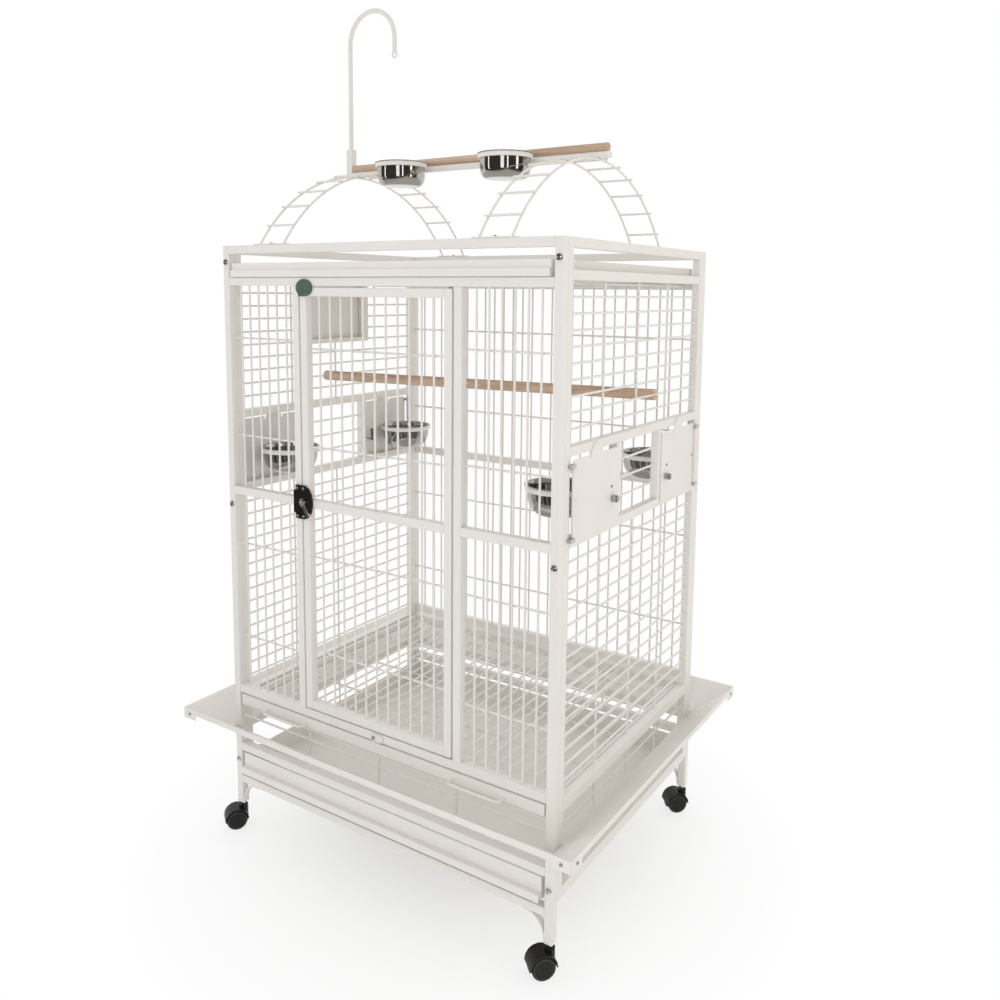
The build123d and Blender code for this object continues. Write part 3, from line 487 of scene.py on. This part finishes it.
eye = arc(tip - EYE_SINK * up, EYE_RADIUS * up, EYE_RADIUS * across, 0, 2 * pi, steps=24)
add_tube(form, eye, EYE_WIRE, sides=10, closed_ends=False)
piece("toy_hook_round", form, [coat], "toy_hook", ("toy_hook",))

# Stainless cups with a rolled rim and a rounded foot

CUP_WALL = 1.2 * MM
PLAY_CUP = {"radius": 57 * MM, "flat": 41 * MM, "depth": 55 * MM, "rim": 6 * MM, "collar": 28 * MM}
FEEDER_CUP = {"radius": 66 * MM, "flat": 36 * MM, "depth": 62 * MM, "rim": 6 * MM, "collar": 16 * MM}


def bowl(radius, flat, depth, rim, collar):
    """Profile of a bowl from its middle inside, over the rim, to its middle outside; rim top at zero."""
    bend = Vector((flat, -collar))
    out, down = Vector((radius - flat, 0)), Vector((0, collar - depth))
    inner_out, inner_down = out - Vector((CUP_WALL, 0)), down + Vector((0, CUP_WALL))
    lip = (
        (radius - CUP_WALL, -2 * MM),
        (radius + 0.6 * MM, -0.2 * MM),
        (radius + rim - 1.5 * MM, 0.0),
        (radius + rim, -0.7 * MM),
        (radius + rim - 0.6 * MM, -1.5 * MM),
        (radius, -1.5 * MM),
    )
    inside = [(0.0, CUP_WALL - depth), *arc(bend, inner_down, inner_out, 0, pi / 2, steps=16)]
    outside = [*arc(bend, out, down, 0, pi / 2, steps=16), (0.0, -depth)]
    return [*inside, *lip, *outside]


def cup(name, node, sizes):
    """Turned cup in place of a node, with its origin on its axis at the rim."""
    low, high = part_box(node)
    form = bmesh.new()
    add_lathe(form, list(reversed(bowl(**sizes))), segments=72)
    middle = (low + high) / 2
    turned_piece(name, form, [stainless], node, (node,), sharp=50, origin=(*middle.xy, high.z))


for side in SIDES:
    cup(f"bowl_play_{side}", f"play_cup_{side}", PLAY_CUP)
    for end in ENDS:
        cup(f"bowl_{side}_{end}", f"feeder_cup_{side}_{end}", FEEDER_CUP)

# Perches keep their solids' shape; the bare disc is a little wider than high

BADGE_STRETCH = 1.27
softened("perch_play", "play_perch", play_wood, "cage", PERCH_EDGE)
softened("perch_cage", "cage_perch", cage_wood, "cage", PERCH_EDGE)
badge = softened("disc_badge", "door_badge", badge_green, "main_door", BADGE_EDGE, segments=3)
low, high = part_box("door_badge")
middle = (low + high) / 2
for vert in badge.data.vertices:
    vert.co.x = middle.x + BADGE_STRETCH * (vert.co.x - middle.x)

# Feeder knobs: a turned grip, its profile in millimetres, its spindle and the cam behind the frame

GRIP = ((0, 0), (6.6, 0), (7.4, 1.5), (7.9, 3.5), (7.9, 10), (7.2, 12.2), (5.8, 13), (4.6, 12.4), (0, 12.2))
GRIP_RADIUS, GRIP_LENGTH = 8 * MM, 13 * MM
SPINDLE_RADIUS, SPINDLE_SINK = 2.9 * MM, 1 * MM
CAM_THICKNESS, CAM_WIDTH, CAM_REACH = 3 * MM, 8 * MM, 30 * MM
for side, sign in SIDES.items():
    for end in ENDS:
        node = f"feeder_knob_{side}_{end}"
        low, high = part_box(node)
        inner, outer = (low.x, high.x) if sign > 0 else (high.x, low.x)
        y, z = (low.y + high.y) / 2, low.z + GRIP_RADIUS
        grip_x = outer - sign * GRIP_LENGTH
        form = bmesh.new()
        seat = Matrix.Translation((grip_x, y, z)) @ Matrix.Rotation(radians(90 * sign), 4, "Y")
        add_lathe(form, scaled(GRIP, MM), segments=32, seat=seat)
        spindle = [Vector((x, y, z)) for x in (inner, grip_x + sign * SPINDLE_SINK)]
        add_tube(form, spindle, SPINDLE_RADIUS)
        near, far = sorted((inner, inner + sign * CAM_THICKNESS))
        foot = Vector((near, y - CAM_WIDTH / 2, z - CAM_WIDTH / 2))
        add_block(form, foot, Vector((far, y + CAM_WIDTH / 2, z + CAM_REACH)))
        # The knobs take the darkened chrome, whose darkness is painted shade
        turned_piece(f"knob_{side}_{end}", form, [shaded_chrome], node, (node,))

# Casters: twin wheels, profile in millimetres, with a grey ring let into each face; turns in degrees

CASTER_TURNS = {"front_left": 145.0, "front_right": 140.0, "back_left": 120.0, "back_right": 135.0}
WHEEL_TRAIL, WHEEL_RADIUS = 18 * MM, 25 * MM
WHEEL = (
    (3.1, 7.1),
    (22.0, 7.1),
    (24.2, 8.0),
    (25.0, 9.5),
    (25.0, 17.5),
    (24.2, 19.2),
    (22.6, 19.9),
    (21.6, 20.0),
    (21.2, 19.4),
    (20.6, 19.4),
    (20.2, 20.0),
    (9.0, 20.0),
    (3.1, 20.0),
    (3.1, 7.1),
)
RING_INSIDE, RING_OUTSIDE, RING_PLACE = 20.3 * MM, 21.5 * MM, 19 * MM
for corner, turn in CASTER_TURNS.items():
    end, side = corner.split("_")
    hood, wheels = f"caster_hood_{corner}", f"caster_wheels_{corner}"
    softened(f"hood_{corner}", hood, black, hood, HOOD_EDGE, sharp=40)
    stem = Matrix.Translation((SIDES[side] * BAR_X, ENDS[end] * BAR_Y, 0))
    swivel = stem @ Matrix.Rotation(radians(turn), 4, "Z")
    hub = swivel @ Matrix.Translation((0, WHEEL_TRAIL, WHEEL_RADIUS))
    form = bmesh.new()
    for sign in (-1, 1):
        axle = hub @ Matrix.Rotation(radians(90 * sign), 4, "Y")
        add_lathe(form, scaled(WHEEL, MM), segments=48, seat=axle)
    for face in form.faces:
        spot = hub.inverted() @ face.calc_center_median()
        if RING_INSIDE < spot.yz.length < RING_OUTSIDE and abs(spot.x) > RING_PLACE:
            face.material_index = 1
    turned_piece(f"wheels_{corner}", form, [tyre, ring_grey], wheels, (wheels,))

# Screws, profile in head radii, and the latch's cap, profile in millimetres

SCREW = ((0.0, 0.35), (0.42, 0.35), (0.46, 0.62), (0.7, 0.56), (0.92, 0.36), (1.0, 0.1), (1.0, -0.05))
FEEDER_SCREW, LATCH_SCREW, SHEET_SCREW, POST_SCREW = 3.2 * MM, 3.4 * MM, 4.2 * MM, 7.3 * MM
FEEDER_SCREWS_Y, FEEDER_SCREW_Z = (143 * MM, 300 * MM), 955 * MM
FEEDER_FACE = HALF_W + 1.8 * MM
LATCH_SCREWS_X, LATCH_SCREWS_Z = (-220 * MM, -201.5 * MM), (839.5 * MM, 903.5 * MM)
LATCH_FACE = HALF_D + 5.6 * MM
POST_SCREWS_Z = (1411 * MM, 834 * MM, 181 * MM)
FOOT_THICKNESS = 2.5 * MM
SKIRT_SCREW_INSET, SKIRT_SCREW_DROP = 22 * MM, 13 * MM
LEVER_HUB, CAP_GAP = 10 * MM, 0.15 * MM
CAP = ((0.0, 2.6), (2.4, 2.3), (4.4, 1.5), (5.8, 0.4), (6.0, 0.0))


def add_screw(form, spot, way, radius):
    """Pan head screw with a socket, seated at a spot and facing a way, added to a bmesh."""
    turn = Vector((0, 0, 1)).rotation_difference(Vector(way)).to_matrix().to_4x4()
    add_lathe(form, scaled(SCREW, radius), segments=18, seat=Matrix.Translation(spot) @ turn)


for side, sx in SIDES.items():
    for end, sy in ENDS.items():
        form = bmesh.new()
        for y in FEEDER_SCREWS_Y:
            add_screw(form, (sx * FEEDER_FACE, sy * y, FEEDER_SCREW_Z), (sx, 0, 0), FEEDER_SCREW)
        turned_piece(f"screws_feeder_{side}_{end}", form, [zinc], f"feeder_door_{side}_{end}")

form = bmesh.new()
for x in LATCH_SCREWS_X:
    for z in LATCH_SCREWS_Z:
        add_screw(form, (x, -LATCH_FACE, z), (0, -1, 0), LATCH_SCREW)
turned_piece("screws_latch", form, [chrome], "main_door")

low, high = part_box("latch_lever")
pivot = Matrix.Translation((low.x + LEVER_HUB, low.y - CAP_GAP, high.z - LEVER_HUB))
form = bmesh.new()
add_lathe(form, scaled(CAP, MM), segments=24, seat=pivot @ Matrix.Rotation(pi / 2, 4, "X"))
turned_piece("cap_latch", form, [chrome], "latch_lever")

form = bmesh.new()
skirt_screw_z = SKIRT_TOP - SKIRT_SCREW_DROP
for sx in SIDES.values():
    for sy in ENDS.values():
        add_screw(form, (sx * ARCH_X, sy * BAR_Y, FRAME_TOP + FOOT_THICKNESS), (0, 0, 1), SHEET_SCREW)
        for z in POST_SCREWS_Z:
            add_screw(form, (sx * BAR_X, sy * HALF_D, z), (0, sy, 0), POST_SCREW)
        x, y = sx * (SKIRT_X - SKIRT_SCREW_INSET), sy * (SKIRT_Y - SKIRT_SCREW_INSET)
        add_screw(form, (x, sy * SKIRT_Y, skirt_screw_z), (0, sy, 0), SHEET_SCREW)
        add_screw(form, (sx * SKIRT_X, y, skirt_screw_z), (sx, 0, 0), SHEET_SCREW)
turned_piece("screws_cage", form, [chrome], "cage")

# Floor: white in the distance, with the object's shadow near it

FLOOR_RADIUS = 14.0
SHADOW_NEAR, SHADOW_FAR, SHADOW_WHITE = 0.25, 0.85, 0.5
WHITE = (1.0, 1.0, 1.0, 1.0)
FLOOR_GREY = (0.94, 0.94, 0.94, 1.0)


def stage_piece(name, form, mat):
    """A mesh object that isn't part of the cage."""
    mesh = bpy.data.meshes.new(name)
    form.to_mesh(mesh)
    form.free()
    mesh.materials.append(mat)
    obj = bpy.data.objects.new(name, mesh)
    scene.collection.objects.link(obj)
    return obj


def combined(new, link, operation, first, second):
    """Two values put together by a math node."""
    node = new("ShaderNodeMath")
    node.operation = operation
    link(first, node.inputs[0])
    link(second, node.inputs[1])
    return node.outputs["Value"]


def seen_rays(new, link):
    """One for rays that show the background: straight, mirrored or through glass."""
    rays = new("ShaderNodeLightPath").outputs
    seen = combined(new, link, "MAXIMUM", rays["Is Camera Ray"], rays["Is Glossy Ray"])
    return combined(new, link, "MAXIMUM", seen, rays["Is Transmission Ray"])


def mixed(new, link, share, first, second):
    """Two shaders mixed, by the share of the second."""
    node = new("ShaderNodeMixShader")
    link(share, node.inputs["Fac"])
    link(first, node.inputs[1])
    link(second, node.inputs[2])
    return node.outputs["Shader"]


floor_mat, shader, new, link = principled("floor", rough=0.9)
shader.inputs["Base Color"].default_value = FLOOR_GREY
white = new("ShaderNodeEmission")
white.inputs["Color"].default_value = WHITE
distance = new("ShaderNodeVectorMath")
distance.operation = "LENGTH"
link(new("ShaderNodeTexCoord").outputs["Object"], distance.inputs[0])
fade = span(new, link, distance.outputs["Value"], SHADOW_WHITE, 1.0, SHADOW_NEAR, SHADOW_FAR)
share = combined(new, link, "MULTIPLY", fade, seen_rays(new, link))
surface = mixed(new, link, share, shader.outputs["BSDF"], white.outputs["Emission"])
link(surface, floor_mat.node_tree.nodes["Material Output"].inputs["Surface"])
ground = bmesh.new()
bmesh.ops.create_circle(ground, cap_ends=True, radius=FLOOR_RADIUS, segments=96)
stage_piece("floor", ground, floor_mat)

# World light: weaker from the front right and below, behind a white backdrop

WEAK_SIDE = (0.72, -0.64, -0.27)
WEAK_FROM, WEAK_FULL = -0.25, 0.55
STRONG_LIGHT, WEAK_LIGHT = 0.98, 0.50
world = bpy.data.worlds.new("studio")
scene.world = world
world.use_nodes = True
world_nodes = world.node_tree.nodes
new, link = world_nodes.new, world.node_tree.links.new
facing = new("ShaderNodeVectorMath")
facing.operation = "DOT_PRODUCT"
facing.inputs[1].default_value = WEAK_SIDE
link(new("ShaderNodeTexCoord").outputs["Generated"], facing.inputs[0])
level = span(
    new,
    link,
    facing.outputs["Value"],
    low=STRONG_LIGHT,
    high=WEAK_LIGHT,
    start=WEAK_FROM,
    end=WEAK_FULL,
    interpolation="SMOOTHSTEP",
)
light = world_nodes["Background"]
light.inputs["Color"].default_value = WHITE
link(level, light.inputs["Strength"])
backdrop = new("ShaderNodeBackground")
backdrop.inputs["Color"].default_value = WHITE
backdrop.inputs["Strength"].default_value = 1.0
surface = mixed(new, link, seen_rays(new, link), light.outputs["Background"], backdrop.outputs["Background"])
link(surface, world_nodes["World Output"].inputs["Surface"])

# Lamps: soft upright panels round the front

LAMP_HEIGHT = 1.75
WARM = (1.0, 0.90, 0.72)


def lamp(name, spot, aim_height, size, power, tint=(1.0, 1.0, 1.0)):
    """Area lamp at a spot on plan, aimed at a height on the cage's axis."""
    data = bpy.data.lights.new(name, "AREA")
    data.shape = "RECTANGLE"
    data.size, data.size_y = size
    data.energy = power
    data.color = tint
    obj = bpy.data.objects.new(name, data)
    obj.location = (*spot, LAMP_HEIGHT)
    obj.rotation_mode = "QUATERNION"
    obj.rotation_quaternion = (Vector((0, 0, aim_height)) - obj.location).to_track_quat("-Z", "Y")
    scene.collection.objects.link(obj)


lamp("key", spot=(1.55, -4.05), aim_height=1.0, size=(1.1, 3.2), power=20)
lamp("strip", spot=(3.0, -3.1), aim_height=1.0, size=(0.35, 3.2), power=9)
lamp("side", spot=(4.4, -0.3), aim_height=1.0, size=(0.8, 3.2), power=20, tint=WARM)
lamp("fill", spot=(-3.0, -3.1), aim_height=0.9, size=(0.4, 3.0), power=9)

# Dark studio behind the lamps, seen only in reflections: wall, ceiling and floor

ROOM_RADIUS, ROOM_FOOT, ROOM_TOP = 5.6, -0.5, 4.2
ROOM_PEAK = Vector((-1.2, 1.6, 4.6))
ROOM_START, ROOM_TURN, ROOM_PANELS = -70, 190, 24
CARPET_SHARE, CARPET_HEIGHT = 0.18, 0.01
ROOM_GREY = (0.060, 0.055, 0.050, 1.0)


def round_room(turn, share, height):
    """Point of the room's outline, or of a share of it, at a turn from the front and a height."""
    reach = share * ROOM_RADIUS
    return Vector((reach * sin(turn), -reach * cos(turn), height))


room = bmesh.new()
edges = [radians(ROOM_START + ROOM_TURN * i / ROOM_PANELS) for i in range(ROOM_PANELS + 1)]
for a, b in zip(edges, edges[1:]):
    foot = [round_room(turn, 1, ROOM_FOOT) for turn in (a, b)]
    top = [round_room(turn, 1, ROOM_TOP) for turn in (a, b)]
    near = [round_room(turn, CARPET_SHARE, CARPET_HEIGHT) for turn in (a, b)]
    far = [round_room(turn, 1, CARPET_HEIGHT) for turn in (a, b)]
    for outline in ((*foot, *reversed(top)), (*top, ROOM_PEAK), (*near, *reversed(far))):
        room.faces.new([room.verts.new(corner) for corner in outline])
room_mat, shader, new, link = principled("studio_room", rough=0.9)
shader.inputs["Base Color"].default_value = ROOM_GREY
studio = stage_piece("studio_room", room, room_mat)
for unseen in ("camera", "diffuse", "transmission", "volume_scatter", "shadow"):
    setattr(studio, "visible_" + unseen, False)

# Camera at the photograph's viewing angle, in metres, millimetres and degrees

CAMERA_SPOT = (1.2491, -1.7715, 1.3465)
SENSOR, LENS, SHIFT = 36.0, 32.154, -0.098
YAW, PITCH, ROLL = 33.187, -6.983, 0.537
camera_data = bpy.data.cameras.new("camera")
camera_data.sensor_width = SENSOR
camera_data.lens = LENS
camera_data.shift_y = SHIFT
camera = bpy.data.objects.new("camera", camera_data)
camera.location = CAMERA_SPOT
camera.rotation_mode = "QUATERNION"
camera.rotation_quaternion = (
    Matrix.Rotation(radians(YAW), 3, "Z")
    @ Matrix.Rotation(radians(90 + PITCH), 3, "X")
    @ Matrix.Rotation(radians(ROLL), 3, "Z")
).to_quaternion()
scene.collection.objects.link(camera)
scene.camera = camera
